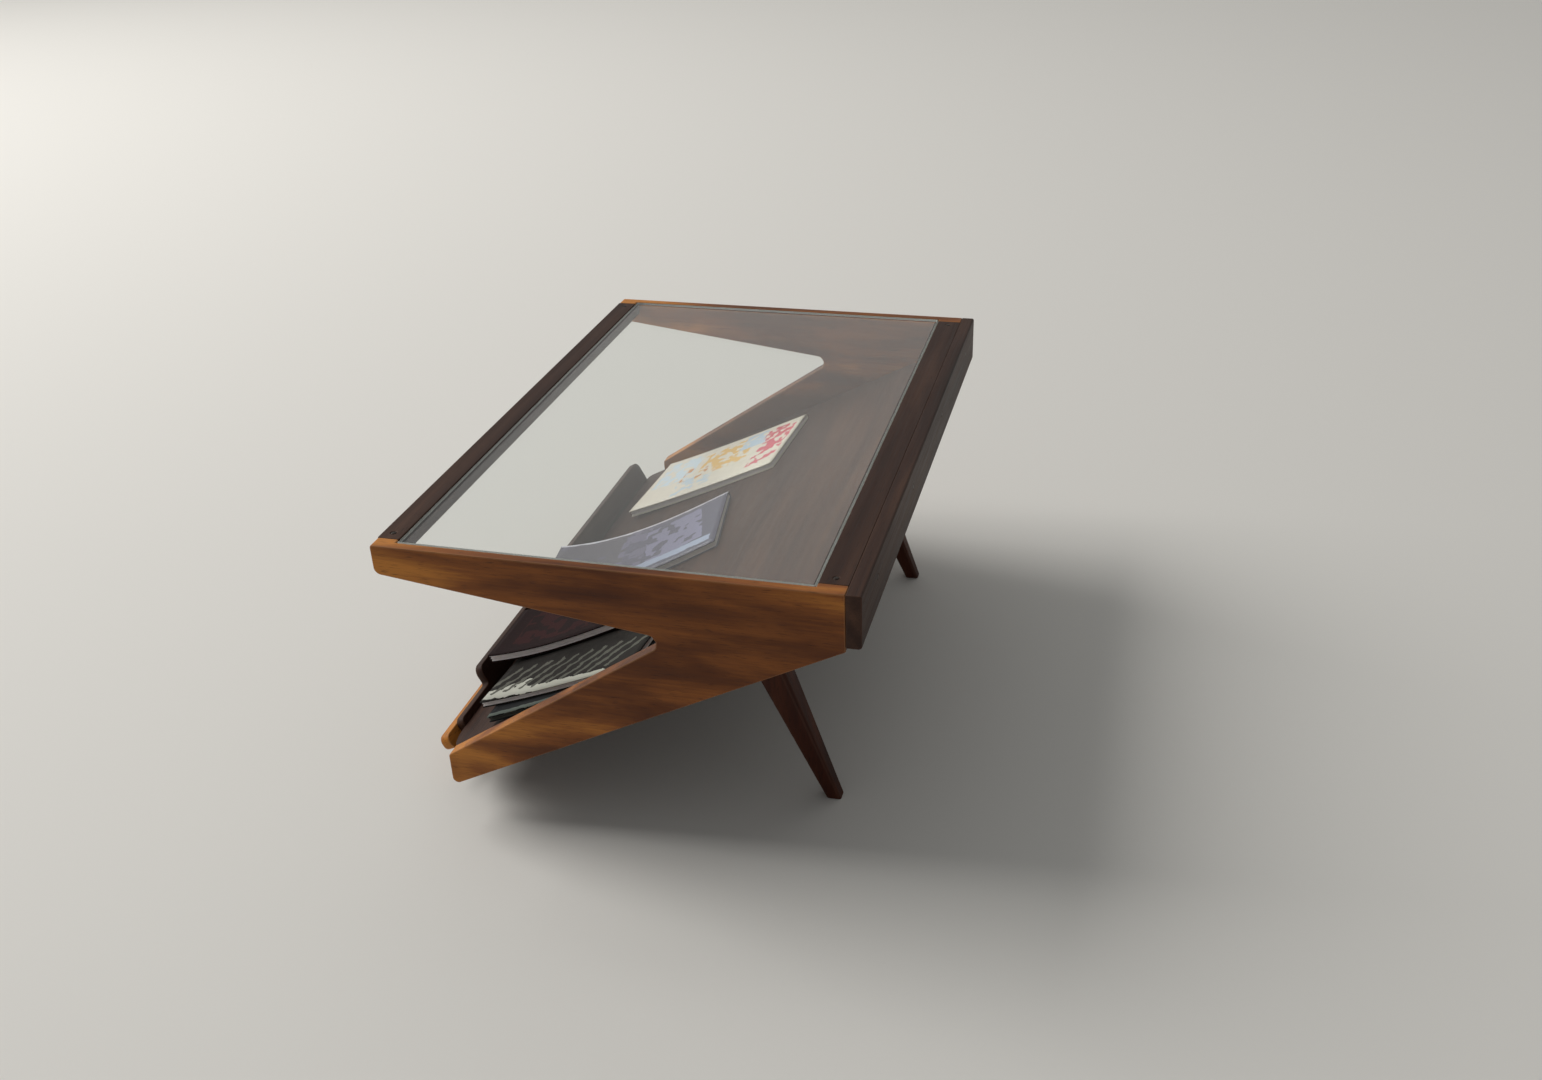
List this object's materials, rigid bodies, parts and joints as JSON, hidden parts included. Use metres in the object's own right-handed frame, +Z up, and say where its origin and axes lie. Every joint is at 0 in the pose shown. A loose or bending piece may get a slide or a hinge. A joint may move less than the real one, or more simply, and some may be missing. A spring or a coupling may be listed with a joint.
{
  "type": "miniature coffee table with magazine rack",
  "caption": "Doll's-house coffee table with a glass top, V-shaped walnut end panels and a sloped magazine rack holding loose magazines.",
  "frame": {"origin": "on the floor, under the middle of the top", "axes": "+Z up, +Y along the table's length, the rack opens towards -X"},
  "size_m": [0.0508, 0.0754, 0.034],
  "materials": {
    "walnut": "oiled, orange-brown, fine grain along the board",
    "dark_walnut": "oiled, dark brown, fine grain",
    "glass": "clear, polished, ground edges",
    "birch": "plain dowel rod",
    "steel_wire": "dull wire",
    "paper": "uncoated paper, cut edges",
    "bright_cover": "printed paper, cream with blocks of blue, red and orange",
    "blue_cover": "printed paper, pale lavender blue",
    "wine_cover": "printed paper, dark wine red",
    "striped_cover": "printed paper, grey and black bands with a white margin",
    "dark_cover": "printed paper, near black"
  },
  "bodies": {
    "table": {"near_end_panel": "walnut", "far_end_panel": "walnut", "rack_edging": "walnut", "left_top_rail": "dark_walnut", "right_top_rail": "dark_walnut", "right_apron": "dark_walnut", "rack_board": "dark_walnut", "rack_fence": "dark_walnut", "right_leg_batten": "dark_walnut", "left_leg_batten": "dark_walnut", "near_right_leg": "dark_walnut", "far_right_leg": "dark_walnut", "near_left_leg": "dark_walnut", "far_left_leg": "dark_walnut", "rail_dowels": "birch", "board_dowels": "birch", "rail_pins": "steel_wire", "apron_pins": "steel_wire"},
    "glass": {"glass_pane": "glass"},
    "bright_magazine": {"bright_magazine_cover": "bright_cover", "bright_magazine_pages": "paper", "bright_magazine_staples": "steel_wire"},
    "blue_magazine": {"blue_magazine_cover": "blue_cover", "blue_magazine_pages": "paper", "blue_magazine_staples": "steel_wire"},
    "wine_magazine": {"wine_magazine_cover": "wine_cover", "wine_magazine_pages": "paper", "wine_magazine_staples": "steel_wire"},
    "striped_magazine": {"striped_magazine_cover": "striped_cover", "striped_magazine_pages": "paper", "striped_magazine_staples": "steel_wire"},
    "dark_magazine": {"dark_magazine_cover": "dark_cover", "dark_magazine_pages": "paper", "dark_magazine_staples": "steel_wire"}
  },
  "joints": [
    {"name": "glass_lift", "type": "slide", "parent": "table", "child": "glass", "axis": [0, 0, 1], "range_m": [0, 0.012]},
    {"name": "bright_magazine_pull", "type": "slide", "parent": "table", "child": "bright_magazine", "axis": [-0.8, 0, 0.6], "range_m": [0, 0.014]},
    {"name": "blue_magazine_pull", "type": "slide", "parent": "table", "child": "blue_magazine", "axis": [-0.8, 0, 0.6], "range_m": [0, 0.014]},
    {"name": "dark_magazine_lift", "type": "slide", "parent": "table", "child": "dark_magazine", "axis": [0, 0, 1], "range_m": [0, 0.003]},
    {"name": "striped_magazine_lift", "type": "slide", "parent": "dark_magazine", "child": "striped_magazine", "axis": [0, 0, 1], "range_m": [0, 0.003]},
    {"name": "wine_magazine_pull", "type": "slide", "parent": "striped_magazine", "child": "wine_magazine", "axis": [-0.8, 0, 0.6], "range_m": [0, 0.012]}
  ]
}
